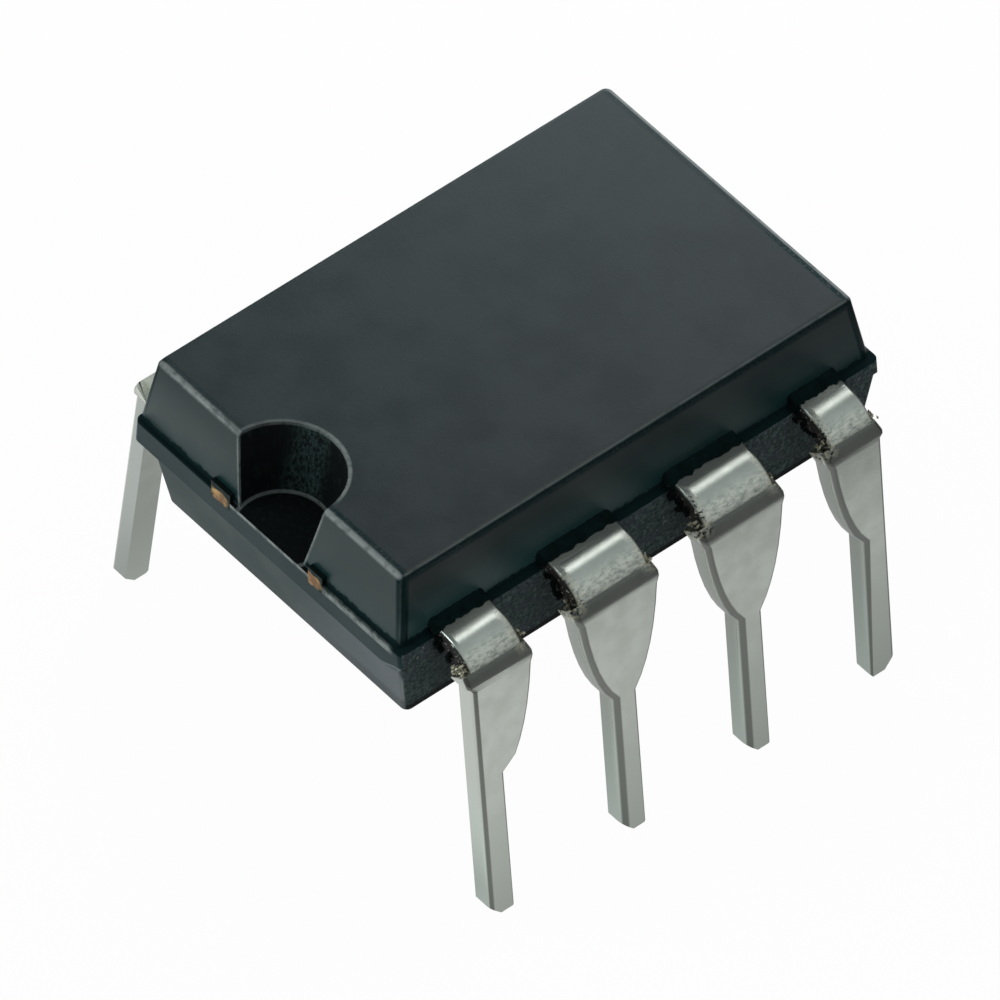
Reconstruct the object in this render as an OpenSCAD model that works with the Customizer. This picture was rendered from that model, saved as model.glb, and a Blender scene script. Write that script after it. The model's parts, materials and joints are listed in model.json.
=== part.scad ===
// Eight lead dual in-line integrated circuit: a moulded body with a drafted upper and lower half,
// eight bent leads, and the die, its paddle and its bond wires sealed inside.
// Z is up and nought at the lead tips. The index notch is at the -Y end, and lead 1 is at +X, -Y.

/* [Body] */
// Width of the top face, across the lead rows
top_w = 5.9; // [5.4:0.1:6.4]
// Length of the top face, along the lead rows
top_l = 9.1; // [8.8:0.1:10.4]
// Height of the upper half above the parting plane
upper_h = 1.33; // [1.1:0.01:2]
// Height of the lower half below the parting plane
lower_h = 1.6; // [1.2:0.01:2]
// Lean of the four sides of the upper half
upper_draft = 9; // [5:0.5:10]
// Lean of the four sides of the lower half
lower_draft = 8; // [4:0.5:10]
// How far the lower half stands out past the upper half at the parting plane
ledge = 0.07; // [0.04:0.01:0.14]
// Rounding of the upright corners
corner_r = 0.12; // [0.06:0.02:0.2]
// Rounding of the top and bottom edges
edge_r = 0.09; // [0.05:0.01:0.14]

/* [Parting land] */
// Height of the upright band under the parting plane
land_h = 0.48; // [0.4:0.02:0.7]
// Height of the same band at the +X side
land_h_right = 0.24; // [0.18:0.02:0.36]
// Radius with which the band's foot curves up to its height at the +X side
land_curve = 0.4; // [0.2:0.05:0.6]
// How far the band widens on its way down
land_spread = 0.05; // [0:0.01:0.08]
// How far the lower mould sits off towards +X
mould_shift = 0.06; // [0:0.01:0.1]
// How far the face under the band is set back at the -X side
set_back = 0.3; // [0:0.02:0.4]
// How far the underside sits off towards +X from the band above it
lower_slide = 0.06; // [0:0.01:0.1]

/* [Index notch] */
// Radius of the notch at the top face
notch_r = 1.04; // [0.6:0.02:1.2]
// Lean of the notch wall
notch_draft = 10.5; // [4:0.5:16]
// How far the notch sits off the middle, towards +X
notch_x = 0.08; // [0:0.01:0.12]

/* [Ejector marks] */
// Diameter of the two round marks in the underside
mark_d = 1.2; // [0.8:0.1:1.6]
// Depth of the marks
mark_depth = 0.06; // [0.03:0.01:0.1]
// Distance from the middle of the body to each mark
mark_y = 2.9; // [2:0.1:3.4]

/* [Leads] */
// Distance between neighbouring leads
pitch = 2.54; // [2.4:0.02:2.7]
// Thickness of the lead frame
lead_t = 0.35; // [0.25:0.01:0.4]
// Height of the parting plane, which is the middle of the lead frame, above the lead tips
drop = 5.375; // [4.8:0.025:6]
// Distance from the middle of the body to the centre of the bends at the +X side
bend_x_right = 3.5; // [3.46:0.02:3.7]
// The same distance at the -X side
bend_x_left = 3.2; // [3.2:0.02:3.5]
// Inner radius of the bends
bend_r = 0.4; // [0.3:0.02:0.5]
// Outward lean of the legs at the +X side
splay_right = 5; // [0:0.5:10]
// Outward lean of the legs at the -X side
splay_left = 8.5; // [0:0.5:10]
// Width of the bend between the dam bar cuts
bend_w = 1.4; // [1.2:0.02:1.44]
// Width across what is left of the dam bar
dam_w = 1.76; // [1.6:0.02:1.9]
// Height of what is left of the dam bar
dam_h = 0.22; // [0.15:0.01:0.3]
// Width of the shoulder under it
shoulder_w = 1.6; // [1.5:0.01:1.7]
// Width across the knee, the point that the shoulder's curve bends towards
knee_w = 1.32; // [1.1:0.02:1.5]
// Distance from the top of the leads down to the knee
knee_drop = 2.08; // [1.7:0.02:2.3]
// Distance from the top of the leads down to where the pins start
neck_drop = 2.67; // [2.4:0.01:3]
// Width of the pins
pin_w = 0.47; // [0.4:0.01:0.5]
// Distance from a corner lead's middle to its straight outer side
corner_w = 0.25; // [0.22:0.01:0.3]
// How far the dam bar cut stands out on the outer side of a corner lead
stub = 0.1; // [0.04:0.01:0.12]
// Height of the cut on the outer side of the pin tips
tip_cut = 0.21; // [0.1:0.01:0.3]
// How far the pins next to the notch stand off towards the notch end
notch_end_shift = 0.13; // [0:0.01:0.16]

/* [Lead fingers] */
// Width of a lead just inside the body
finger_w = 0.9; // [0.7:0.05:1.1]
// Width of a lead's inner end
finger_tip_w = 0.6; // [0.45:0.05:0.7]
// Gap between the inner ends and the paddle
finger_gap = 0.3; // [0.2:0.02:0.36]
// How far into the body a lead keeps its outside width
root_depth = 0.25; // [0.15:0.05:0.4]
// Diameter of the hole in each finger that the moulding fills, so that the lead can't pull out
lock_d = 0.36; // [0.25:0.01:0.42]

/* [Die and paddle] */
// Width of the paddle
paddle_w = 3; // [2.9:0.05:3.2]
// Length of the paddle
paddle_l = 4.2; // [3.6:0.1:4.4]
// Width of the tie bar at the -X side
tie_w_left = 0.46; // [0.36:0.02:0.5]
// Width of the tie bar at the +X side
tie_w_right = 0.34; // [0.3:0.02:0.4]
// Distance from the middle of the body to the tie bar at the -X side
tie_x_left = 1.07; // [1:0.01:1.14]
// Distance from the middle of the body to the tie bar at the +X side
tie_x_right = 1.22; // [1.16:0.01:1.24]
// Width of the silicon die
die_w = 1.7; // [1.4:0.05:1.9]
// Length of the silicon die
die_l = 2.2; // [1.8:0.05:2.6]
// Thickness of the silicon die
die_t = 0.28; // [0.2:0.01:0.36]
// Thickness of the die attach
attach_t = 0.03; // [0.02:0.005:0.05]
// How far the die attach shows round the die
attach_rim = 0.08; // [0.04:0.01:0.12]

/* [Bond wires] */
// Diameter of the bond wires
wire_d = 0.03; // [0.025:0.001:0.04]
// Diameter of the ball at the wire's first bond, on the die
ball_d = 0.08; // [0.06:0.005:0.1]
// Height of the ball
ball_h = 0.025; // [0.015:0.005:0.04]
// Height of the wire loops above the die
loop_h = 0.22; // [0.15:0.01:0.3]
// Distance from the edge of the die to the middle of a bond pad
pad_inset = 0.12; // [0.08:0.01:0.16]
// Distance from a lead's inner end to the wire's second bond
stitch_inset = 0.25; // [0.18:0.01:0.35]

/* [Hidden] */

$fn = 48;
hull_fn = 32;
arc_fn = 96;
skin = 0.001;
far = 20;

frame_top = drop + lead_t / 2;
frame_bottom = drop - lead_t / 2;
top_z = drop + upper_h;
bottom_z = drop - lower_h;
upper_w = top_w + 2 * upper_h * tan(upper_draft);
upper_l = top_l + 2 * upper_h * tan(upper_draft);
land_w = upper_w + 2 * ledge;
land_l = upper_l + 2 * ledge;
lower_w = land_w - set_back;
lower_start = drop - land_h_right / 2;

row_n = 4;
bend_z = frame_bottom - bend_r;
outer_r = bend_r + lead_t;
crease_angle = 34;
crease_z = bend_z + outer_r * sin(crease_angle);
bend_ease = 0.06;
dam_slope = 0.2;
curve_steps = 6;
tip_nick = 0.04;
finger_x = paddle_w / 2 + finger_gap;
finger_root_x = land_w / 2 - root_depth;
finger_l = finger_root_x - finger_x;
finger_neck = 0.26 * finger_l;
finger_end = 0.37 * finger_l;
finger_fan = 0.72;
lock_x = finger_root_x - finger_neck;
wire_rings = 11;
wire_sides = 8;
attach_z = frame_top + attach_t;
die_z = attach_z + die_t;

// A lead's place in its row, from the notch end, where 0 and the last are the corner leads
function corner_lead(i) = i == 0 || i == row_n - 1;
function row_y(i) = (i - (row_n - 1) / 2) * pitch;
// A corner lead's outer side, from its middle
function outer_edge(i) = corner_w + (i == 0 ? notch_end_shift : 0);
// Middle of the hole in each finger
function lock_y(i) = row_y(i) +
    (i == 0 ? 1 : i == row_n - 1 ? -1 : 0) * (finger_w / 2 - corner_w) / 2;
// Middle of each lead's inner end
function finger_y(i) = row_y(i) * (corner_lead(i) ? finger_fan : 1);
// Bond pad on the die for each lead
function pad_y(i) = (i / (row_n - 1) - 0.5) * (die_l - 2 * pad_inset);

// The four round corners of a thin plate, for a hull() to fill
module corners(w, l, z, shift = 0) {
    for (x = [-1, 1], y = [-1, 1])
        translate([shift + x * (w / 2 - corner_r), y * (l / 2 - corner_r), z])
            cylinder(h = skin, r = corner_r, $fn = hull_fn);
}

// Block of w0 by l0 at z0 whose sides lean in up or down to z1, where the edge is rounded. The
// middle of it may slide towards +X on the way.
module drafted_block(w0, l0, z0, z1, draft, slide = 0) {
    up = z1 > z0 ? 1 : -1;
    lean = tan(draft);
    inset = abs(z1 - z0) * lean;
    hull() {
        corners(w0, l0, z0 - (up > 0 ? 0 : skin));
        for (a = [0, 45, 90]) {
            down = edge_r * (1 - sin(a));
            pull = 2 * (inset - down * lean + edge_r * (1 - cos(a)));
            corners(w0 - pull, l0 - pull, z1 - up * down - (up > 0 ? skin : 0), slide);
        }
    }
}

// Upright band under the parting plane, which widens a little on its way down. Its foot is level
// and curves up to a lesser height at the +X side.
module land() {
    rise = land_h - land_h_right;
    curve_x = mould_shift + land_w / 2 - land_curve;
    foot = [for (a = [0:15:90]) [curve_x + land_curve * sin(a), drop - land_h + rise * (1 - cos(a))]];
    intersection() {
        hull() {
            corners(land_w, land_l, drop - skin, mould_shift);
            corners(land_w + 2 * land_spread, land_l, drop - land_h, mould_shift);
        }
        translate([0, far / 2, 0])
            rotate([90, 0, 0])
                linear_extrude(far)
                    polygon(concat([[-far, drop - land_h]], foot,
                                   [[far, drop - land_h_right], [far, far], [-far, far]]));
    }
}

// Tapered half round notch that marks the lead 1 end
module notch() {
    floor_r = notch_r - upper_h * tan(notch_draft);
    rise = 0.2;
    translate([notch_x, -top_l / 2, drop])
        cylinder(h = upper_h + rise, r1 = floor_r, r2 = notch_r + rise * tan(notch_draft));
}

module ejector_marks() {
    for (y = [-mark_y, mark_y])
        translate([mould_shift, y, bottom_z + mark_depth - far])
            cylinder(h = far, d = mark_d);
}

module moulding() {
    difference() {
        union() {
            drafted_block(upper_w, upper_l, drop, top_z, upper_draft);
            land();
            translate([mould_shift + set_back / 2, 0, 0])
                drafted_block(lower_w, land_l, lower_start, bottom_z, lower_draft, lower_slide);
        }
        notch();
        ejector_marks();
    }
}

// Section of a lead across its row: flat, bend, and a leg that leans outwards
module lead_section(bend_x, splay) {
    translate([finger_x, frame_bottom])
        square([bend_x - finger_x, lead_t]);
    translate([bend_x, bend_z]) {
        intersection() {
            difference() {
                circle(outer_r, $fn = arc_fn);
                circle(bend_r, $fn = arc_fn);
            }
            square(far);
            rotate(splay)
                translate([-far / 2, 0])
                    square(far);
        }
        rotate(splay)
            translate([bend_r, -far])
                square([lead_t, far]);
    }
}

// Point of a curve that leaves a towards b and ends at c
function curve(a, b, c, f) = (1 - f) * (1 - f) * a + 2 * f * (1 - f) * b + f * f * c;

// Half of a lead seen from outside: what is left of the dam bar, shoulder, and taper to the pin
function shoulder_side() = let (start = [shoulder_w / 2, crease_z - dam_h - dam_slope],
                                knee = [knee_w / 2, frame_top - knee_drop],
                                neck = [pin_w / 2, frame_top - neck_drop]) concat(
    [[dam_w / 2, crease_z], [dam_w / 2, crease_z - dam_h]],
    [for (k = [0:curve_steps]) curve(start, knee, neck, k / curve_steps)]);

// Straight outer side of a corner lead, with what is left of the dam bar
function straight_side(edge) = [
    [edge + stub, crease_z],
    [edge + stub, crease_z - dam_h],
    [edge, crease_z - dam_h - dam_slope / 2],
    [edge, frame_top - neck_drop]];

// The same half on the other side, from its foot up
function flip(points) = [for (i = [len(points) - 1:-1:0]) [-points[i][0], points[i][1]]];

// Front outline of a lead: inner half from the top down, tip, outer half from the foot up
module lead_outline(i) {
    inner_pin = pin_w / 2 - (i == 0 ? notch_end_shift : 0);
    outer_pin = corner_lead(i) ? outer_edge(i) : pin_w / 2;
    full = shoulder_side();
    inner = concat([for (k = [0:len(full) - 2]) full[k]], [[inner_pin, full[len(full) - 1][1]]]);
    outer = corner_lead(i) ? straight_side(outer_edge(i)) : full;
    points = concat([[inner[0][0], far]], inner,
                    [[inner_pin, tip_nick], [inner_pin - tip_nick, 0], [tip_cut - outer_pin, 0],
                     [-outer_pin, tip_cut]],
                    flip(outer), [[-outer[0][0], far]]);
    mirror([i == row_n - 1 ? 1 : 0, 0]) polygon(points);
}

// Plan of a lead: as wide as can be outside the body, and a finger towards the paddle inside
module lead_plan(i) {
    y = row_y(i);
    ty = finger_y(i);
    tip = finger_tip_w / 2;
    low = i == 0 ? corner_w : finger_w / 2;
    high = i == row_n - 1 ? corner_w : finger_w / 2;
    polygon([[finger_x, ty - tip], [finger_x + finger_end, ty - tip],
             [finger_root_x - finger_neck, y - low], [finger_root_x, y - low],
             [finger_root_x, y - pitch], [far, y - pitch], [far, y + pitch],
             [finger_root_x, y + pitch], [finger_root_x, y + high],
             [finger_root_x - finger_neck, y + high], [finger_x + finger_end, ty + tip],
             [finger_x, ty + tip]]);
}

// Dam bar nibbles: what is cut away at both sides of the bend
module nibbles(i, bend_x) {
    corner_half = outer_edge(i) - bend_ease;
    low = i == 0 ? corner_half : bend_w / 2;
    high = i == row_n - 1 ? corner_half : bend_w / 2;
    for (start = [-low - far, high])
        translate([bend_x, start + far, bend_z])
            rotate([90, 0, 0])
                linear_extrude(far)
                    polygon([[0, 0], far * [cos(crease_angle), sin(crease_angle)], [-far, far],
                             [-far, 0]]);
}

// One lead of the +X row, by its place from the notch end
module row_lead(i, bend_x, splay) {
    y = row_y(i);
    difference() {
        intersection() {
            translate([0, y + pitch, 0])
                rotate([90, 0, 0])
                    linear_extrude(2 * pitch)
                        lead_section(bend_x, splay);
            translate([0, y, 0])
                rotate([90, 0, 90])
                    linear_extrude(far)
                        lead_outline(i);
            linear_extrude(far)
                lead_plan(i);
        }
        translate([0, y, 0]) nibbles(i, bend_x);
        translate([lock_x, lock_y(i), 0]) cylinder(h = far, d = lock_d);
    }
}

// Leads are numbered along the +X row from the notch, and back along the -X row
module lead(n) {
    color([0.68, 0.7, 0.69])
        if (n <= row_n) row_lead(n - 1, bend_x_right, splay_right);
        else mirror([1, 0, 0]) row_lead(2 * row_n - n, bend_x_left, splay_left);
}

// Lead frame's middle: the paddle and the tie bars that held it, cut flush at both ends
module paddle_plate() {
    translate([0, 0, frame_bottom])
        linear_extrude(lead_t) {
            square([paddle_w, paddle_l], center = true);
            translate([-tie_x_left, 0]) square([tie_w_left, land_l], center = true);
            translate([tie_x_right, 0]) square([tie_w_right, land_l], center = true);
        }
}

module attach_plate() {
    translate([0, 0, frame_top])
        linear_extrude(attach_t)
            square([die_w + 2 * attach_rim, die_l + 2 * attach_rim], center = true);
}

module die_block() {
    translate([-die_w / 2, -die_l / 2, attach_z])
        cube([die_w, die_l, die_t]);
}

// Bond wire: up from its ball on a pad, over in a loop, and down on a lead's inner end
function wire_start(i) = [die_w / 2 - pad_inset, pad_y(i), die_z + ball_h];
function wire_end(i) = [finger_x + stitch_inset, finger_y(i), frame_top];
function loop_point(a, b, f) = let (s = (1 - cos(180 * f)) / 2)
    a + (b - a) * s + [0, 0, loop_h * sin(180 * f)];
// Slope of the loop: upright at both ends
function loop_pitch(a, b, f) =
    f == 0 ? 90 : f == 1 ? -90 :
    atan2((b[2] - a[2]) * sin(180 * f) / 2 + loop_h * cos(180 * f),
          norm([b[0] - a[0], b[1] - a[1]]) * sin(180 * f) / 2);
// Points of one ring of radius r about p, square to a wire that runs ahead at this pitch
function ring(p, r, pitch_angle, ahead) =
    let (side = [-ahead[1], ahead[0], 0], up = [0, 0, cos(pitch_angle)] - ahead * sin(pitch_angle))
    [for (q = [0:wire_sides - 1])
        let (turn = 360 * q / wire_sides)
        p + r * (cos(turn) * side + sin(turn) * up)];

module row_wire(i) {
    a = wire_start(i);
    b = wire_end(i);
    plan = [b[0] - a[0], b[1] - a[1], 0];
    ahead = plan / norm(plan);
    ball = [for (z = [-ball_h, -ball_h / 4]) ring(a + [0, 0, z], ball_d / 2, 90, ahead)];
    loop = [for (k = [0:wire_rings - 1]) let (f = k / (wire_rings - 1))
        ring(loop_point(a, b, f), wire_d / 2, loop_pitch(a, b, f), ahead)];
    rings = concat(ball, loop);
    last = (len(rings) - 1) * wire_sides;
    walls = [for (k = [0:len(rings) - 2], q = [0:wire_sides - 1])
        let (n = (q + 1) % wire_sides, at = k * wire_sides)
        [at + q, at + n, at + wire_sides + n, at + wire_sides + q]];
    polyhedron([for (r = rings, p = r) p],
               concat([[for (q = [wire_sides - 1:-1:0]) q]], walls,
                      [[for (q = [0:wire_sides - 1]) last + q]]));
}

module wire(n) {
    if (n <= row_n) row_wire(n - 1);
    else mirror([1, 0, 0]) row_wire(2 * row_n - n);
}

module moulded_body() {
    color([0.16, 0.18, 0.19])
        difference() {
            moulding();
            for (n = [1:2 * row_n]) {
                lead(n);
                wire(n);
            }
            paddle_plate();
            attach_plate();
            die_block();
        }
}

module die_paddle() {
    color([0.72, 0.45, 0.3]) paddle_plate();
}

module die_attach() {
    color([0.75, 0.76, 0.78]) attach_plate();
}

module silicon_die() {
    color([0.36, 0.38, 0.46]) die_block();
}

module bond_wire(n) {
    color([0.83, 0.68, 0.22]) wire(n);
}

moulded_body();
lead(1);  // lead_1
lead(2);  // lead_2
lead(3);  // lead_3
lead(4);  // lead_4
lead(5);  // lead_5
lead(6);  // lead_6
lead(7);  // lead_7
lead(8);  // lead_8
die_paddle();
die_attach();
silicon_die();
bond_wire(1);  // bond_wire_1
bond_wire(2);  // bond_wire_2
bond_wire(3);  // bond_wire_3
bond_wire(4);  // bond_wire_4
bond_wire(5);  // bond_wire_5
bond_wire(6);  // bond_wire_6
bond_wire(7);  // bond_wire_7
bond_wire(8);  // bond_wire_8
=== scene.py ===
"""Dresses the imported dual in-line circuit: moulded body, eight tinned leads, what they hold."""

import json
import logging
import math
import random
from dataclasses import dataclass
from enum import Enum
from functools import reduce
from typing import Callable

import bmesh
import bpy
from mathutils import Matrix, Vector

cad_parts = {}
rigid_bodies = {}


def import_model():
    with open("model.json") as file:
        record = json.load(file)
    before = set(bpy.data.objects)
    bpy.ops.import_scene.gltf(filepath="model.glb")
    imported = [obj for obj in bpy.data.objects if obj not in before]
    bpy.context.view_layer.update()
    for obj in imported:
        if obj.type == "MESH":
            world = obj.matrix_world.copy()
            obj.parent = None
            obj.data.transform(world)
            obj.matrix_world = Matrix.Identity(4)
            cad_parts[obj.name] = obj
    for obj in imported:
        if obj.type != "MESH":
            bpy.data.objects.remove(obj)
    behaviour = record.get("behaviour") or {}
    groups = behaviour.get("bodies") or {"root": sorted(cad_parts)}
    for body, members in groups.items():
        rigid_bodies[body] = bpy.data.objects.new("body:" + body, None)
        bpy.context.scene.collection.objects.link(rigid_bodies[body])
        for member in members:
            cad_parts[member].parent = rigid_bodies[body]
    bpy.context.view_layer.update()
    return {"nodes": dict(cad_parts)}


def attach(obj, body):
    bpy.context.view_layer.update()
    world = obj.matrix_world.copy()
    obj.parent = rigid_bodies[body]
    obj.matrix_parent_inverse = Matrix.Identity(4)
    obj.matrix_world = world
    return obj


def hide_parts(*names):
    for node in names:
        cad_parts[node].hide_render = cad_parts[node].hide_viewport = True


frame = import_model()

log = logging.getLogger("dip_circuit")

MM = 0.001

Colour = tuple[float, float, float]
Point = tuple[float, float, float]
Socket = bpy.types.NodeSocket
Tree = bpy.types.NodeTree
Material = bpy.types.Material
Piece = bpy.types.Object


class Slot(Enum):
    """Material slots of the record."""

    MOULDING = "moulding"
    LEAD = "tinned_lead"
    COPPER = "bare_copper"
    ATTACH = "die_attach"
    SILICON = "silicon"
    GOLD = "bond_gold"


class Side(Enum):
    """The two rows of leads, by the side of the body that they leave."""

    RIGHT = 1
    LEFT = -1


def srgb(red: int, green: int, blue: int) -> Colour:
    """Turn a colour as a screen shows it into linear light.

    Args:
        red: Red, from 0 to 255.
        green: Green, from 0 to 255.
        blue: Blue, from 0 to 255.

    Returns:
        The colour in linear light, each channel from 0 to 1.
    """

    def linear(value: int) -> float:
        part = value / 255
        return part / 12.92 if part <= 0.04045 else ((part + 0.055) / 1.055) ** 2.4

    return linear(red), linear(green), linear(blue)


@dataclass(frozen=True)
class PackageSizes:
    """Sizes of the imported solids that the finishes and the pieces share, in millimetres."""

    top_z: float = 6.705
    parting_z: float = 5.375
    bottom_z: float = 3.775
    top_w: float = 5.9
    top_l: float = 9.1
    upper_draft: float = 9.0
    ledge: float = 0.07
    land_h: float = 0.48
    lower_draft: float = 8.0
    notch_x: float = 0.08
    notch_r: float = 1.04
    notch_draft: float = 10.5
    pitch: float = 2.54
    lead_t: float = 0.35
    row_n: int = 4
    bend_r: float = 0.4
    bend_x_right: float = 3.5
    bend_x_left: float = 3.2

    @property
    def lead_top(self) -> float:
        """Height of the leads' upper face."""
        return self.parting_z + self.lead_t / 2

    @property
    def bend_z(self) -> float:
        """Height of the centre of the bends."""
        return self.parting_z - self.lead_t / 2 - self.bend_r

    @property
    def outer_r(self) -> float:
        """Outer radius of the bends."""
        return self.bend_r + self.lead_t

    @property
    def land_l(self) -> float:
        """Length of the lower half at the parting plane."""
        height = self.top_z - self.parting_z
        return self.top_l + 2 * (height * math.tan(math.radians(self.upper_draft)) + self.ledge)

    def wall_x(self, z: float) -> float:
        """Find how far from the middle a long side of the upper half is at a height."""
        return self.top_w / 2 + (self.top_z - z) * math.tan(math.radians(self.upper_draft))


SIZES = PackageSizes()


class Nodes:
    """Short hand for the nodes of one shader or shader group."""

    def __init__(self, tree: Tree) -> None:
        """Start on an empty tree.

        Args:
            tree: The node tree to fill.
        """
        self.tree = tree
        tree.nodes.clear()

    def add(self, kind: str, inputs: dict | None = None, **settings: object) -> bpy.types.Node:
        """Add a node, and set or link its inputs.

        Args:
            kind: The node's type name.
            inputs: What each input gets, by its name or place: a value or another socket.
            **settings: Properties of the node.

        Returns:
            The new node.
        """
        node = self.tree.nodes.new(kind)
        for name, value in settings.items():
            setattr(node, name, value)
        self.fill(node.inputs, inputs or {})
        return node

    def fill(self, sockets: bpy.types.NodeInputs, values: dict) -> None:
        """Set or link sockets.

        Args:
            sockets: Inputs of a node, or of a group's output node.
            values: What each one gets, by its name or place: a value or another socket.
        """
        for key, value in values.items():
            socket = sockets[key]
            if isinstance(value, Socket):
                self.tree.links.new(value, socket)
            elif isinstance(value, tuple) and socket.type == "RGBA":
                socket.default_value = (*value[:3], 1.0)
            else:
                socket.default_value = value

    def math(self, operation: str, *values: object, clamp: bool = False) -> Socket:
        """Calculate with numbers or sockets, and keep the result from 0 to 1 if asked to."""
        inputs = dict(enumerate(values))
        return self.add("ShaderNodeMath", inputs, operation=operation, use_clamp=clamp).outputs[0]

    def plus(self, *values: object) -> Socket:
        """Add values."""
        return reduce(lambda done, value: self.math("ADD", done, value), values)

    def times(self, *values: object) -> Socket:
        """Multiply values."""
        return reduce(lambda done, value: self.math("MULTIPLY", done, value), values)

    def most(self, *values: object) -> Socket:
        """Find the largest of some values."""
        return reduce(lambda done, value: self.math("MAXIMUM", done, value), values)

    def minus(self, first: object, second: object) -> Socket:
        """Take the second value from the first."""
        return self.math("SUBTRACT", first, second)

    def size(self, value: object) -> Socket:
        """Leave out a value's sign."""
        return self.math("ABSOLUTE", value)

    def length(self, first: object, second: object) -> Socket:
        """Find the long side of a right triangle from the other two."""
        return self.math("SQRT", self.plus(self.times(first, first), self.times(second, second)))

    def in_mm(self, vector: object) -> tuple[Socket, ...]:
        """Split coordinates in metres into x, y and z in millimetres."""
        split = self.add("ShaderNodeSeparateXYZ", {"Vector": vector})
        return tuple(self.times(part, 1 / MM) for part in split.outputs)

    def ramp(self, value: object, low: float, high: float, smooth: bool = True,
             start: float = 0.0, end: float = 1.0) -> Socket:
        """Map a value's range to another one, held at both ends.

        Args:
            value: The socket to map.
            low: The value that gives start.
            high: The value that gives end.
            smooth: Whether the change eases in and out.
            start: Result at low.
            end: Result at high.

        Returns:
            The result's socket.
        """
        kind = "SMOOTHSTEP" if smooth else "LINEAR"
        node = self.add("ShaderNodeMapRange", {"Value": value, "From Min": low, "From Max": high,
                                               "To Min": start, "To Max": end},
                        interpolation_type=kind)
        return node.outputs[0]

    def band(self, value: object, middle: float, half: float, soft: float) -> Socket:
        """Mask that is 1 up to half a width from the middle, and then fades softly to 0."""
        away = self.size(self.minus(value, middle))
        return self.ramp(away, half, half + soft, start=1.0, end=0.0)

    def mix(self, factor: object, first: object, second: object) -> Socket:
        """Blend two colours by how much of the second one shows."""
        node = self.add("ShaderNodeMix", {0: factor, 6: first, 7: second}, data_type="RGBA")
        return node.outputs[2]

    def paint(self, colour: object, *layers: tuple[object, object]) -> Socket:
        """Lay colours over a first one in turn, each given as how much of it shows and itself."""
        return reduce(lambda under, layer: self.mix(layer[0], under, layer[1]), layers, colour)

    def blend(self, factor: object, first: object, second: object) -> Socket:
        """Blend two numbers by how much of the second one is used."""
        node = self.add("ShaderNodeMix", {0: factor, 2: first, 3: second}, data_type="FLOAT")
        return node.outputs[0]

    def noise(self, vector: object, size: float, detail: float = 3.0, rough: float = 0.55,
              stretch: Point = (1, 1, 1)) -> Socket:
        """Cloud noise whose blotches have a given size.

        Args:
            vector: Coordinates in metres.
            size: Size of a blotch in millimetres.
            detail: Number of finer layers.
            rough: How strong the finer layers are.
            stretch: How much longer the blotches are along each axis.

        Returns:
            The noise value's socket, about 0.5 in the middle.
        """
        scale = tuple(1 / (size * MM * s) for s in stretch)
        point = self.add("ShaderNodeMapping", {"Vector": vector, "Scale": scale})
        node = self.add("ShaderNodeTexNoise", {"Vector": point.outputs[0], "Scale": 1.0,
                                               "Detail": detail, "Roughness": rough})
        return node.outputs[0]


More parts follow.
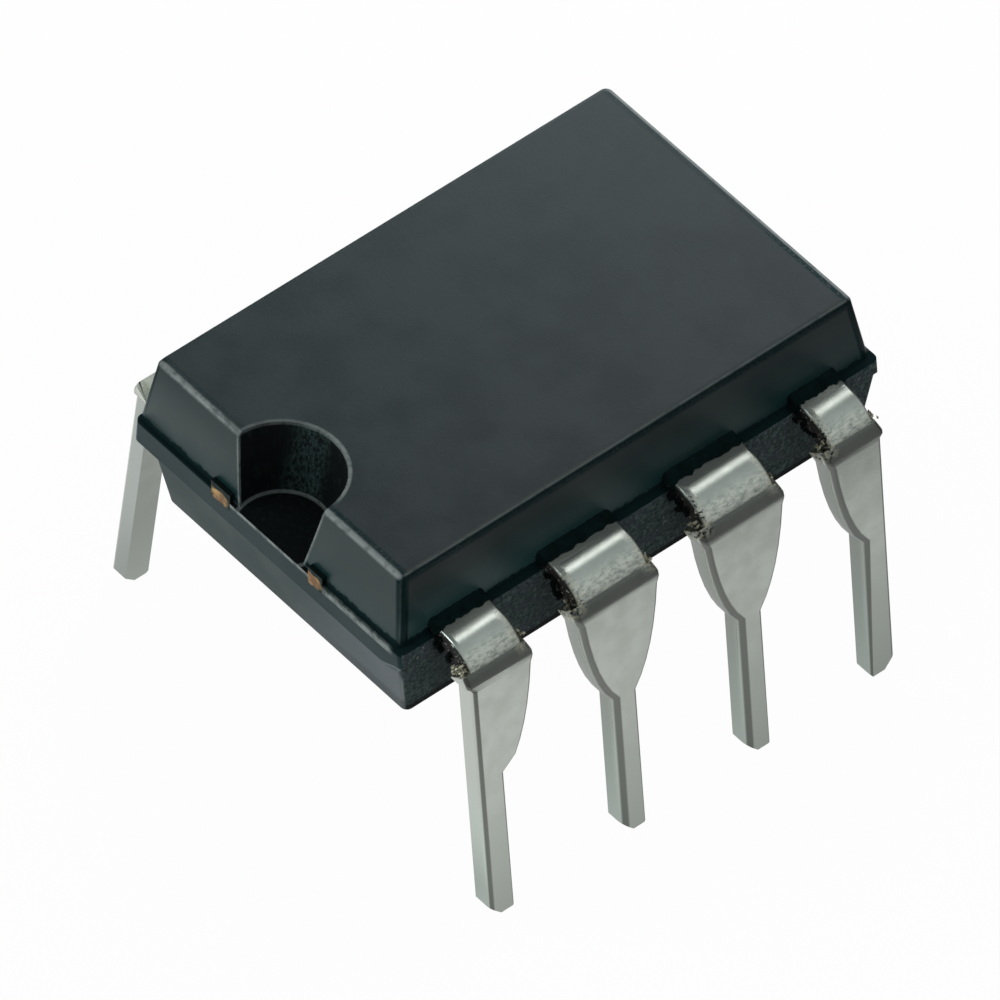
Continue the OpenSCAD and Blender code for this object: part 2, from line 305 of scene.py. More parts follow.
class SharedGroups:
    """Shader groups that more than one finish uses."""

    def __init__(self) -> None:
        """Build every group once."""
        self.grain = self._grain()
        self.edges = self._edges()

    def _new(self, name: str, outputs: tuple[str, ...], **inputs: float) -> tuple:
        """Make an empty group that takes coordinates, with its other sockets.

        Args:
            name: Name of the group.
            outputs: Names of the numbers that it puts out.
            **inputs: Default of each number that it takes.

        Returns:
            The group, its node helper, its input node and its output node.
        """
        group = bpy.data.node_groups.new(name, "ShaderNodeTree")
        sockets = group.interface
        sockets.new_socket("Vector", in_out="INPUT", socket_type="NodeSocketVector")
        for label, default in inputs.items():
            socket = sockets.new_socket(label, in_out="INPUT", socket_type="NodeSocketFloat")
            socket.default_value = default
        for label in outputs:
            sockets.new_socket(label, in_out="OUTPUT", socket_type="NodeSocketFloat")
        nodes = Nodes(group)
        return group, nodes, nodes.add("NodeGroupInput"), nodes.add("NodeGroupOutput")

    def _grain(self) -> Tree:
        """Two layers of grain: fine pits, and broad clouds that vary tone and gloss.

        Returns:
            The group.
        """
        group, n, ins, outs = self._new("grain", ("Pits", "Clouds"), Fine=20000.0, Broad=1200.0)
        layers = (("Fine", "Pits", 4.0, 0.6), ("Broad", "Clouds", 3.0, 0.5))
        for scale, layer, detail, rough in layers:
            noise = n.add("ShaderNodeTexNoise", {"Vector": ins.outputs["Vector"],
                                                 "Scale": ins.outputs[scale], "Detail": detail,
                                                 "Roughness": rough})
            n.fill(outs.inputs, {layer: noise.outputs[0]})
        return group

    def _edges(self) -> Tree:
        """Masks of the upper half's edges, each found as where two of its surfaces meet.

        Returns:
            The group. Its outputs are the painted highlight lines, the painted shade bands beside
            them, and the lit part of the ledge, also a painted highlight.
        """
        group, n, ins, outs = self._new("upper_edges", ("Rubbed", "Rolls", "Ledge"))
        x, y, z = n.in_mm(ins.outputs["Vector"])
        depth = n.minus(SIZES.top_z, z)
        spread = n.times(depth, math.tan(math.radians(SIZES.upper_draft)))
        end = n.minus(n.size(y), n.plus(SIZES.top_l / 2, spread))
        side = n.minus(n.size(x), n.plus(SIZES.top_w / 2, spread))
        reach = n.length(n.minus(x, SIZES.notch_x), n.plus(y, SIZES.top_l / 2))
        lean = n.times(depth, math.tan(math.radians(SIZES.notch_draft)))
        notch = n.minus(reach, n.minus(SIZES.notch_r, lean))
        above_floor = n.minus(z, SIZES.parting_z)

        # How bright each edge's painted highlight is, and half the width of the line
        round_notch = n.math("ARCTAN2", n.plus(y, SIZES.top_l / 2), n.minus(x, SIZES.notch_x))
        rim = n.ramp(round_notch, 1.4, 2.4, start=0.75, end=0.3)
        rim = n.times(n.ramp(round_notch, 0.1, 0.5), rim)
        upright = n.ramp(above_floor, 0.04, 0.08, end=0.5)
        lines = ((depth, end, 1.0, 0.05), (depth, notch, rim, 0.035), (end, notch, 0.6, 0.025),
                 (above_floor, notch, 0.5, 0.025), (end, side, upright, 0.03),
                 (depth, side, 0.42, 0.03))
        painted_highlight = 0.0
        for first, second, strength, half in lines:
            line = n.ramp(n.length(first, second), half, half * 2, start=1.0, end=0.0)
            painted_highlight = n.most(painted_highlight, n.times(line, strength))
        patchy = n.noise(ins.outputs["Vector"], 0.2, 4.0, 0.65)
        painted_highlight = n.times(painted_highlight, n.ramp(above_floor, -0.025, -0.01),
                         n.ramp(patchy, 0.3, 0.55, start=0.4))

        # Painted shade: dark bands beside the painted highlights, on the rounded edges
        on_top = n.ramp(depth, 0.03, 0.01)
        on_side = n.times(n.ramp(depth, 0.02, 0.04), n.ramp(side, -0.1, -0.05))
        beyond_notch = n.ramp(x, 0.9, 1.3, start=0.35)
        ragged = n.ramp(n.noise(ins.outputs["Vector"], 0.05, 3.0, 0.7), 0.35, 0.55)
        behind_end = n.times(on_top, beyond_notch, n.band(end, -0.12, 0.03, 0.04), ragged)
        under_top = n.times(on_side, n.ramp(depth, 0.2, 0.12), n.plus(0.5, n.times(ragged, 0.5)))
        beside_end = n.times(on_side, n.band(end, -0.1, 0.05, 0.04))
        rolls = n.most(behind_end, under_top, beside_end)

        outward = n.minus(n.size(y), SIZES.land_l / 2)
        sunk = n.plus(above_floor, n.ramp(x, 1.1, 1.25, start=0.0, end=0.065))
        lip = n.ramp(n.length(sunk, outward), 0.05, 0.09, start=1.0, end=0.0)
        lit = n.times(n.band(x, 1.0, 1.95, 0.15), n.ramp(patchy, 0.36, 0.6, start=0.3))
        n.fill(outs.inputs, {"Rubbed": painted_highlight, "Rolls": rolls, "Ledge": n.times(lip, lit)})
        return group


class Finish:
    """A material with its nodes, ready for a finish to fill in."""

    def __init__(self, name: str) -> None:
        """Make the material with its shader.

        Args:
            name: Name of the material.
        """
        self.material = bpy.data.materials.new(name)
        self.material.use_nodes = True
        self.nodes = Nodes(self.material.node_tree)
        self.shader = self.nodes.add("ShaderNodeBsdfPrincipled")
        self.nodes.add("ShaderNodeOutputMaterial", {"Surface": self.shader.outputs[0]})
        self.coords = self.nodes.add("ShaderNodeTexCoord").outputs["Object"]
        self.x, self.y, self.z = self.nodes.in_mm(self.coords)
        facing = self.nodes.add("ShaderNodeNewGeometry").outputs["Normal"]
        split = self.nodes.add("ShaderNodeSeparateXYZ", {"Vector": facing})
        self.normal_x, self.normal_y, self.normal_z = split.outputs

    def put(self, **inputs: object) -> None:
        """Set or link inputs of the shader, by their names with _ for a blank."""
        named = {name.replace("_", " "): value for name, value in inputs.items()}
        self.nodes.fill(self.shader.inputs, named)

    def group(self, tree: Tree, **values: object) -> bpy.types.Node:
        """Place a shared group on the piece's own coordinates, with its other inputs."""
        return self.nodes.add("ShaderNodeGroup", {"Vector": self.coords, **values}, node_tree=tree)

    def bump(self, height: object, depth: float, strength: float = 1.0) -> None:
        """Give the surface relief from a height of 0 to 1 and a depth in millimetres."""
        node = self.nodes.add("ShaderNodeBump", {"Height": height, "Distance": depth * MM,
                                                 "Strength": strength})
        self.put(Normal=node.outputs[0])


@dataclass(frozen=True)
class MouldingFinish:
    """Black epoxy moulding compound, satin from the mould, with painted highlights along its edges
    and painted shade along the parting line, beside the edges and round the bottom.
    """

    name: str = "black_moulding"
    specular: float = 0.5
    satin: Colour = srgb(24, 42, 45)
    satin_near: Colour = srgb(10, 27, 28)
    end_foot: Colour = srgb(10, 48, 48)
    band: Colour = srgb(17, 46, 49)
    lower: Colour = srgb(15, 48, 48)
    lower_near: Colour = srgb(79, 89, 93)
    flank: Colour = srgb(17, 49, 49)
    flank_near: Colour = srgb(40, 70, 70)
    painted_highlight: Colour = srgb(138, 144, 142)
    seam: Colour = srgb(14, 42, 44)
    corner_x: float = 3.29
    foot_rise: float = 0.17

    def build(self, groups: SharedGroups) -> Material:
        """Make the material.

        Args:
            groups: The shared shader groups.

        Returns:
            The material.
        """
        made = Finish(self.name)
        n = made.nodes
        grain = made.group(groups.grain, Fine=26000.0, Broad=900.0)
        soft = n.ramp(grain.outputs["Clouds"], 0.35, 0.65)
        # Painted shade: the moulding darker towards the near corner
        near = n.ramp(n.minus(made.y, n.times(made.x, 5.0)), 22.0, -24.0, smooth=False)

        # Painted shade: the ends of the upper half darken and turn greener towards the ledge
        on_end = n.ramp(n.size(made.normal_y), 0.3, 0.6)
        falling = n.ramp(made.z, SIZES.top_z - 0.4, SIZES.parting_z + 0.1, start=0.45)

        # Lower half: a darker band, a painted highlight on its crease, painted reflection towards
        # the near corner and a painted shade rim round the bottom
        under = n.ramp(made.z, SIZES.parting_z, SIZES.parting_z - 0.02)
        foot = SIZES.parting_z - SIZES.land_h
        foot_z = n.ramp(made.x, 2.75, 3.25, start=foot, end=foot + self.foot_rise)
        below = n.minus(foot_z, made.z)
        low = n.times(n.ramp(below, -0.01, 0.015), on_end)
        # Painted reflection: the ends of the lower half lighter towards the near corner
        lower = n.mix(n.ramp(made.x, 0.1, 2.6), self.lower, self.lower_near)
        # Painted highlights along the crease and up the near lower corner
        crease = n.times(on_end, n.band(below, 0.01, 0.01, 0.012))
        drawn_in = n.times(below, math.tan(math.radians(SIZES.lower_draft)))
        corner = n.ramp(n.plus(made.x, drawn_in), self.corner_x - 0.09, self.corner_x - 0.05)
        # Painted shade: a dark rim round the bottom
        rim = n.times(n.ramp(made.z, SIZES.bottom_z + 0.4, SIZES.bottom_z + 0.28),
                      n.ramp(made.x, 0.3, 2.9, start=0.3, end=0.8))
        # Painted light: the long sides of the upper half lighter towards the near end
        flank = n.times(n.ramp(n.size(made.normal_x), 0.6, 0.9),
                        n.ramp(made.z, SIZES.top_z - 0.2, SIZES.parting_z))
        flank_painted_light = n.mix(n.ramp(made.y, 2.0, -4.5), self.flank, self.flank_near)
        colour = n.paint(self.satin, (near, self.satin_near),
                         (n.times(soft, 0.09), self.lower_near),
                         (n.times(on_end, falling), self.end_foot), (under, self.band),
                         (low, lower), (n.times(crease, 0.35), self.painted_highlight),
                         (n.times(corner, low, 0.4), self.painted_highlight), (rim, self.seam),
                         (flank, flank_painted_light))

        # Painted shadow along the parting line, for a little way above the ledge and on the flat
        # ledge beside the notch
        painted_shade_h = n.ramp(n.size(made.normal_x), 0.4, 0.8, start=0.14, end=0.13)
        height = n.minus(made.z, SIZES.parting_z + 0.002)
        wavy = n.ramp(n.noise(made.coords, 0.12, 3.0), 0.3, 0.7, start=0.7, end=1.2)
        seam = n.math("DIVIDE", height, n.times(painted_shade_h, wavy))
        seam = n.times(n.ramp(seam, 0.6, 1.0, start=1.0, end=0.0), n.ramp(height, -0.01, 0.0))
        beside_notch = n.ramp(n.size(n.minus(made.x, SIZES.notch_x)), 1.05, 1.2)
        flat = n.times(n.band(made.z, SIZES.parting_z - 0.005, 0.025, 0.02), beside_notch)
        seam = n.most(seam, flat)
        painted_highlight, rolls, ledge = made.group(groups.edges).outputs
        painted_highlight = n.most(painted_highlight, ledge)
        colour = n.paint(colour, (seam, self.seam), (rolls, self.seam), (painted_highlight, self.painted_highlight))
        gloss = n.blend(seam, n.blend(soft, 0.36, 0.42), 0.9)

        # The painted shade bands, painted shadow and painted shade rim shine less than the satin
        # does
        upper_end = n.times(on_end, n.math("SUBTRACT", 0.22, under, clamp=True))
        matt = n.most(seam, rolls, rim, upper_end)
        matt = n.math("MULTIPLY", matt, n.minus(0.75, painted_highlight), clamp=True)
        made.put(Base_Color=colour, Roughness=gloss, IOR=1.5, Specular_IOR_Level=self.specular,
                 Metallic=matt)
        made.bump(grain.outputs["Pits"], 0.0016)
        return made.material


@dataclass(frozen=True)
class NotchFinish:
    """The notch, which the mould leaves finely pitted, painted very dark for the shade in its
    hollow, with a painted highlight on its rim.
    """

    dark: Colour = srgb(4, 9, 11)
    pale: Colour = srgb(22, 30, 30)
    haze: Colour = srgb(44, 62, 60)
    rim: Colour = srgb(128, 136, 134)

    def build(self, groups: SharedGroups) -> Material:
        """Make the material.

        Args:
            groups: The shared shader groups.

        Returns:
            The material.
        """
        made = Finish("notch_moulding")
        n = made.nodes
        grain = made.group(groups.grain, Fine=16000.0, Broad=2600.0)
        streaks = n.noise(made.coords, 0.1, 4.0, 0.7, (1.0, 1.0, 3.0))
        hazy = n.times(n.band(made.x, -0.25, 0.12, 0.3), n.ramp(made.normal_z, 0.5, 0.3))
        grainy = n.ramp(n.noise(made.coords, 0.05, 4.0, 0.75, (1.0, 1.0, 2.0)), 0.4, 0.62)
        # Painted shade: the hollow drawn near black; painted highlight along the rim
        colour = n.paint(self.dark, (n.ramp(streaks, 0.5, 0.8), self.pale),
                         (n.times(hazy, grainy), self.haze),
                         (made.group(groups.edges).outputs["Rubbed"], self.rim))
        made.put(Base_Color=colour, Roughness=0.75, IOR=1.5, Specular_IOR_Level=0.12)
        made.bump(grain.outputs["Pits"], 0.01)
        return made.material


@dataclass(frozen=True)
class BrokenFinish:
    """Moulding that was broken off between the leads: dull, torn and full of filler grains."""

    dark: Colour = srgb(34, 49, 50)
    pale: Colour = srgb(84, 97, 95)
    blue: Colour = srgb(62, 66, 74)
    grainy: Colour = srgb(150, 152, 142)
    foot: Colour = srgb(14, 20, 21)
    filler_size: float = 1 / 15

    def build(self) -> Material:
        """Make the material.

        Returns:
            The material.
        """
        made = Finish("broken_moulding")
        n = made.nodes
        blotches = n.noise(made.coords, 0.07, 4.0, 0.7)
        patches = n.noise(made.coords, 0.3, 2.0)
        crumbs = n.noise(made.coords, self.filler_size, 2.0, 0.6)
        filler = n.math("MULTIPLY", n.minus(crumbs, 0.68), 16.0, clamp=True)
        # Painted shade: darker towards the bottom edge
        foot = n.ramp(made.z, SIZES.bottom_z + 0.26, SIZES.bottom_z + 0.16)
        colour = n.paint(self.dark, (n.ramp(blotches, 0.38, 0.66), self.pale),
                         (n.times(n.ramp(patches, 0.45, 0.6), 0.5), self.blue),
                         (n.times(filler, 0.8), self.grainy), (foot, self.foot))
        made.put(Base_Color=colour, Roughness=0.85, IOR=1.5, Specular_IOR_Level=0.25)
        made.bump(blotches, 0.03)
        return made.material


@dataclass(frozen=True)
class TinFinish:
    """Satin tin plate over the copper lead frame, crazed and burred at the bend."""

    tin: Colour = srgb(184, 190, 183)
    shade: Colour = srgb(176, 182, 174)
    rolled: Colour = srgb(104, 107, 102)
    pin: Colour = srgb(168, 175, 167)
    pin_flank_light: Colour = srgb(186, 197, 189)
    left_flank_shade: Colour = srgb(165, 172, 166)
    crazed: Colour = srgb(224, 226, 213)
    cracks: Colour = srgb(164, 166, 154)
    burr: Colour = srgb(206, 202, 178)
    shade_and_resin_black: Colour = srgb(20, 20, 19)
    rust: Colour = srgb(44, 32, 26)

    def build(self, groups: SharedGroups) -> Material:
        """Make the material.

        Args:
            groups: The shared shader groups.

        Returns:
            The material.
        """
        made = Finish("satin_tin")
        n = made.nodes
        grain = made.group(groups.grain, Fine=24000.0, Broad=2600.0)
        clouds = n.ramp(grain.outputs["Clouds"], 0.3, 0.7)
        # Painted shade: the pins darker towards the floor. Painted reflection: flanks facing the
        # near end lighter low down on the right row and darker on the left row
        down = n.ramp(made.z, 3.2, 1.4)
        trimmed = n.math("GREATER_THAN", made.x, 0.0)
        flank_light_and_shade = n.mix(trimmed, self.left_flank_shade, n.mix(down, self.tin, self.pin_flank_light))
        colour = n.paint(self.tin, (clouds, self.shade), (down, self.pin),
                         (n.ramp(made.normal_y, -0.5, -0.8), flank_light_and_shade))

        # Where a point is on its own lead: across it, and round the bend
        half = SIZES.pitch / 2
        wrapped = n.math("MODULO", n.plus(made.y, SIZES.row_n * half), SIZES.pitch)
        signed = n.minus(wrapped, half)
        across = n.size(signed)
        out = n.minus(n.size(made.x), n.blend(trimmed, SIZES.bend_x_left, SIZES.bend_x_right))
        turn = n.math("ARCTAN2", n.minus(made.z, SIZES.bend_z), out)
        turn = n.times(turn, 180 / math.pi)

        # Darker and duller on the rounded outer edges, which the die rolls over
        sideways = n.size(made.normal_y)
        rolled = n.times(n.band(sideways, 0.42, 0.22, 0.2),
                         n.ramp(n.size(made.normal_x), 0.15, 0.3), n.ramp(turn, 40.0, 34.0))

        # Stretched plating above the crease
        crackle = n.noise(made.coords, 0.06, 4.0, 0.7, (1.0, 2.2, 1.0))
        zone = n.times(n.ramp(turn, 31.0, 35.0), n.ramp(turn, 68.0, 44.0))
        colour = n.paint(colour, (n.times(rolled, 0.85), self.rolled),
                         (n.times(zone, n.ramp(crackle, 0.38, 0.6)), self.crazed),
                         (n.times(zone, n.ramp(crackle, 0.42, 0.34)), self.cracks))

        # Torn plating beside the cut dam bars
        edge = n.times(n.ramp(across, 0.5, 0.66), n.ramp(turn, 16.0, 26.0),
                       n.ramp(turn, 88.0, 70.0), trimmed)
        torn = n.noise(made.coords, 0.06, 3.0, 0.7)
        near_notch = n.ramp(signed, 0.2, -0.2, start=0.25)
        dark_specks = n.times(edge, n.ramp(torn, 0.45, 0.38), near_notch)

        # Cut flanks of the bend, which are all but black: partly painted shadow, partly resin and
        # rust
        flank = n.times(n.ramp(sideways, 0.7, 0.88), n.ramp(turn, 30.0, 38.0), trimmed)
        spread = n.noise(made.coords, 0.09, 3.0, 0.7)
        black = n.mix(n.ramp(spread, 0.48, 0.62), self.shade_and_resin_black, self.rust)

        # The bends of the other row are drawn duller and paler
        pale = n.times(n.minus(1.0, trimmed), n.ramp(turn, 15.0, 35.0))
        colour = n.paint(colour, (n.times(edge, n.ramp(torn, 0.5, 0.58)), self.burr),
                         (dark_specks, self.shade_and_resin_black), (n.times(flank, n.ramp(torn, 0.66, 0.6)), black),
                         (n.times(pale, 0.8), self.crazed))

        rough = n.blend(clouds, 0.19, 0.23)
        rough = n.blend(n.most(zone, edge), rough, 0.42)
        rough = n.blend(rolled, rough, 0.4)
        rough = n.blend(flank, rough, 0.7)
        dull = n.most(flank, n.times(pale, 0.6))
        made.put(Base_Color=colour, Metallic=n.minus(1.0, dull), Roughness=rough)
        relief = n.plus(n.times(grain.outputs["Pits"], 0.12), n.times(n.most(zone, edge), crackle))
        made.bump(relief, 0.012, 0.8)
        return made.material


@dataclass(frozen=True)
class TieBarFinish:
    """The lead frame's middle: bare copper, which moulding smears over at the sheared ends."""

    copper: Colour = srgb(184, 146, 92)
    dull: Colour = srgb(112, 80, 44)
    smear: Colour = srgb(34, 48, 46)
    olive: Colour = srgb(92, 84, 40)
    bright_x: tuple[float, float] = (-1.1, 1.17)

    def build(self, groups: SharedGroups) -> Material:
        """Make the material.

        Args:
            groups: The shared shader groups.

        Returns:
            The material.
        """
        made = Finish("bare_copper")
        n = made.nodes
        grain = made.group(groups.grain, Fine=30000.0, Broad=4000.0)
        ends = n.ramp(n.size(made.y), 4.6, 4.62)
        ragged = n.noise(made.coords, 0.12, 3.0, 0.6)
        bright = 0.0
        for middle in self.bright_x:
            along = n.minus(made.x, middle)
            up = n.minus(made.z, SIZES.parting_z - 0.05)
            away = n.math("SQRT", n.plus(n.times(along, along), n.times(up, up, 2.5)))
            away = n.plus(away, n.times(n.minus(ragged, 0.5), 0.3))
            bright = n.most(bright, n.ramp(away, 0.26, 0.17))
        smear = n.times(ends, n.minus(1.0, bright))
        colour = n.paint(self.copper, (n.ramp(grain.outputs["Clouds"], 0.35, 0.65), self.dull),
                         (n.ramp(smear, 0.0, 0.5), self.olive),
                         (n.ramp(smear, 0.4, 1.0), self.smear))
        made.put(Base_Color=colour, Metallic=1.0, Roughness=n.blend(smear, 0.36, 0.6))
        made.bump(ragged, 0.02)
        return made.material


@dataclass(frozen=True)
class PlainFinish:
    """Two close colours with light grain, for metal, silicon or torn resin."""

    name: str
    colour: Colour
    second: Colour
    metallic: float
    roughness: float
    fine: float = 30000.0
    broad: float = 2000.0
    depth: float = 0.002
    specular: float = 0.5

    def build(self, groups: SharedGroups) -> Material:
        """Make the material.

        Args:
            groups: The shared shader groups.

        Returns:
            The material.
        """
        made = Finish(self.name)
        n = made.nodes
        grain = made.group(groups.grain, Fine=self.fine, Broad=self.broad)
        clouds = n.ramp(grain.outputs["Clouds"], 0.3, 0.7)
        made.put(Base_Color=n.mix(clouds, self.colour, self.second), Metallic=self.metallic,
                 Roughness=n.blend(clouds, self.roughness, self.roughness + 0.08),
                 Specular_IOR_Level=self.specular)
        made.bump(grain.outputs["Pits"], self.depth)
        return made.material


def dress(piece: Piece, material: Material) -> None:
    """Give a piece one material all over.

    Args:
        piece: The piece.
        material: Its material.
    """
    piece.data.materials.clear()
    piece.data.materials.append(material)
    for face in piece.data.polygons:
        face.material_index = 0


def clear_selection() -> None:
    """Deselect every object."""
    for item in bpy.context.selected_objects:
        item.select_set(False)


def merged_copy(node: str, name: str) -> Piece:
    """Copy a CAD node's mesh as a new object with its loose triangles joined.

    Args:
        node: The CAD node.
        name: Name of the new object.

    Returns:
        The new object, at the origin, selected and active.
    """
    source = frame["nodes"][node]
    piece = bpy.data.objects.new(name, source.data.copy())
    bpy.context.scene.collection.objects.link(piece)
    clear_selection()
    piece.select_set(True)
    bpy.context.view_layer.objects.active = piece
    bpy.ops.object.mode_set(mode="EDIT")
    bpy.ops.mesh.select_all(action="SELECT")
    bpy.ops.mesh.remove_doubles(threshold=0.0005 * MM)
    bpy.ops.mesh.customdata_custom_splitnormals_clear()
    bpy.ops.mesh.dissolve_limited(angle_limit=math.radians(0.6), delimit=set())
    bpy.ops.object.mode_set(mode="OBJECT")
    return piece


def even_normals(piece: Piece) -> None:
    """Let the large faces keep their own direction where they meet rounded edges.

    Args:
        piece: The active piece.
    """
    weighted = piece.modifiers.new("even", "WEIGHTED_NORMAL")
    weighted.mode = "FACE_AREA"
    weighted.weight = 100
    weighted.keep_sharp = True
    bpy.ops.object.modifier_apply(modifier=weighted.name)


def choose_edges(piece: Piece, test: Callable[[bmesh.types.BMEdge], bool]) -> int:
    """Select the edges of the active piece, in edit mode, that pass a test.

    Args:
        piece: The active piece, in edit mode.
        test: Says whether an edge is wanted.

    Returns:
        How many edges are selected.
    """
    mesh = bmesh.from_edit_mesh(piece.data)
    bpy.ops.mesh.select_all(action="DESELECT")
    bpy.ops.mesh.select_mode(type="EDGE")
    count = 0
    for edge in mesh.edges:
        if test(edge):
            edge.select_set(True)
            count += 1
    mesh.select_flush_mode()
    bmesh.update_edit_mesh(piece.data)
    return count


@dataclass
class LeadRow:
    """One row of leads, whose rolled outer edges the solids leave sharp."""

    side: Side
    notch_side_r: float = 0.15
    straight_side_r: float = 0.09
    far_side_r: float = 0.06
    edge_steps: int = 5
    dam_steps: tuple[float, ...] = (5.18, 5.12, 5.05, 4.98)
    dam_shift: float = 0.03
    square_foot: float = 0.3
    smooth_below: float = 28.0

    @property
    def bend_x(self) -> float:
        """Distance from the middle of the body to the centre of the bends."""
        return SIZES.bend_x_right if self.side is Side.RIGHT else SIZES.bend_x_left

    def _outer(self, face: bmesh.types.BMFace) -> bool:
        """Say whether a face is on the outside of the bend or the leg."""
        centre = face.calc_center_median() / MM
        normal = face.normal
        x, z = centre.x * self.side.value, centre.z
        out_x = normal.x * self.side.value
        if abs(normal.y) > 0.1 or x < self.bend_x - 0.4 or z < 0.03:
            return False
        if z > SIZES.bend_z:
            reach = math.hypot(x - self.bend_x, z - SIZES.bend_z)
            return reach > SIZES.outer_r - 0.03 and out_x > -0.05 and normal.z > -0.05
        return out_x > 0.9

    def _ease_dam(self, piece: Piece) -> None:
        """Draw the cut dam bar's corner in at the side away from the notch.

        Args:
            piece: The active piece, in edit mode.
        """
        for least_z in self.dam_steps:
            mesh = bmesh.from_edit_mesh(piece.data)
            bpy.ops.mesh.select_all(action="DESELECT")
            bpy.ops.mesh.select_mode(type="VERT")
            widest = max(vert.co.y for vert in mesh.verts if vert.co.z < SIZES.bend_z * MM)
            for vert in mesh.verts:
                outside = abs(vert.co.x) > (self.bend_x + 0.2) * MM
                beyond = vert.co.y > widest - self.dam_shift * MM
                vert.select_set(outside and beyond and vert.co.z > least_z * MM)
            mesh.select_flush_mode()
            bmesh.update_edit_mesh(piece.data)
            bpy.ops.transform.translate(value=(0, -self.dam_shift * MM, 0))

    def _rounded(self, edge: bmesh.types.BMEdge, notch_side: bool) -> bool:
        """Say whether an edge lies between the outside and one flank of the lead."""
        if len(edge.link_faces) != 2:
            return False
        if max(vert.co.z for vert in edge.verts) < self.square_foot * MM:
            return False
        outside = [self._outer(face) for face in edge.link_faces]
        if outside[0] == outside[1]:
            return False
        flank = edge.link_faces[1 if outside[0] else 0]
        return flank.normal.y < -0.1 if notch_side else flank.normal.y > 0.1

    def build(self, number: int, material: Material) -> None:
        """Make one lead's piece.

        Args:
            number: The lead's number.
            material: The tin finish.
        """
        piece = merged_copy(f"lead_{number}", f"tinned_lead_{number}")
        bpy.ops.object.mode_set(mode="EDIT")
        self._ease_dam(piece)
        count = 0
        straight = number in (1, 2 * SIZES.row_n)
        notch_r = self.straight_side_r if straight else self.notch_side_r
        for notch_side, radius in ((True, notch_r), (False, self.far_side_r)):
            count += choose_edges(piece, lambda edge: self._rounded(edge, notch_side))
            bpy.ops.mesh.bevel(offset=radius * MM, offset_type="OFFSET", segments=self.edge_steps,
                               profile=0.5, clamp_overlap=False)
        bpy.ops.object.mode_set(mode="OBJECT")
        bpy.ops.object.shade_smooth_by_angle(angle=math.radians(self.smooth_below))
        even_normals(piece)
        dress(piece, material)
        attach(piece, "root")
        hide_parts(f"lead_{number}")
        log.info("lead %d: %d edges rounded, %d faces", number, count, len(piece.data.polygons))


def lead_span(number: int) -> tuple[float, float]:
    """Find how wide a lead's solid is where it leaves the body.

    Args:
        number: The lead's number.

    Returns:
        Lowest and highest y of its flat part outside the body, in millimetres.
    """
    places = [corner.co / MM for corner in frame["nodes"][f"lead_{number}"].data.vertices]
    flat = [place.y for place in places
            if place.z > SIZES.lead_top - 0.1 and abs(place.x) > SIZES.bend_x_left]
    return min(flat), max(flat)


@dataclass
class ResinFlash:
    """Torn skin of moulding that covers the root of a lead."""

    reach: float = 0.23
    ragged: float = 0.035
    over: float = 0.05
    thick: float = 0.03
    rise: float = 0.05
    root: float = 0.03
    rough: float = 0.012
    level_part: float = 0.46
    droop: float = 2.0
    columns: int = 9
    rows: int = 34
    seed: int = 100
    smooth_below: float = 50.0

    def build(self, number: int, side: Side, material: Material) -> None:
        """Make the skin over one lead.

        Args:
            number: The lead's number.
            side: The row that it is in.
            material: The skin's finish.
        """
        wall = SIZES.wall_x(SIZES.lead_top)
        low, high = lead_span(number)
        low, high = low - self.over, high + self.over
        clear_selection()
        bpy.ops.mesh.primitive_grid_add(x_subdivisions=self.columns, y_subdivisions=self.rows,
                                        size=1.0)
        piece = bpy.context.object
        piece.name = piece.data.name = f"resin_flash_{number}"
        draw = random.Random(self.seed + number)
        edge = [draw.uniform(-1, 1) for _ in range(self.rows + 1)]
        for corner in piece.data.vertices:
            along = corner.co.y + 0.5
            out = corner.co.x + 0.5
            step = min(int(along * self.rows + 0.5), self.rows)
            smooth = (edge[max(step - 1, 0)] + edge[step] + edge[min(step + 1, self.rows)]) / 3
            reach = self.reach + self.ragged * (smooth + 0.35 * edge[step])
            droop = max(0.0, abs(along - 0.5) - self.level_part) * self.droop
            height = self.thick + self.rise * (1 - out) ** 2 + self.rough * draw.uniform(-1, 1)
            corner.co = Vector(((wall - self.root + out * (reach + self.root)) * side.value,
                                low + (high - low) * along,
                                SIZES.lead_top + height * (1 - 0.5 * out) - droop)) * MM
        solid = piece.modifiers.new("thickness", "SOLIDIFY")
        solid.thickness = self.thick * MM
        solid.offset = -1 if side is Side.RIGHT else 1
        bpy.ops.object.modifier_apply(modifier=solid.name)
        bpy.ops.object.mode_set(mode="EDIT")
        bpy.ops.mesh.select_all(action="SELECT")
        bpy.ops.mesh.normals_make_consistent(inside=False)
        bpy.ops.object.mode_set(mode="OBJECT")
        bpy.ops.object.shade_smooth_by_angle(angle=math.radians(self.smooth_below))
        dress(piece, material)
        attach(piece, "root")


@dataclass(frozen=True)
class Lump:
    """One crumb: where it sits and how large it is, in millimetres."""

    place: Point
    size: Point


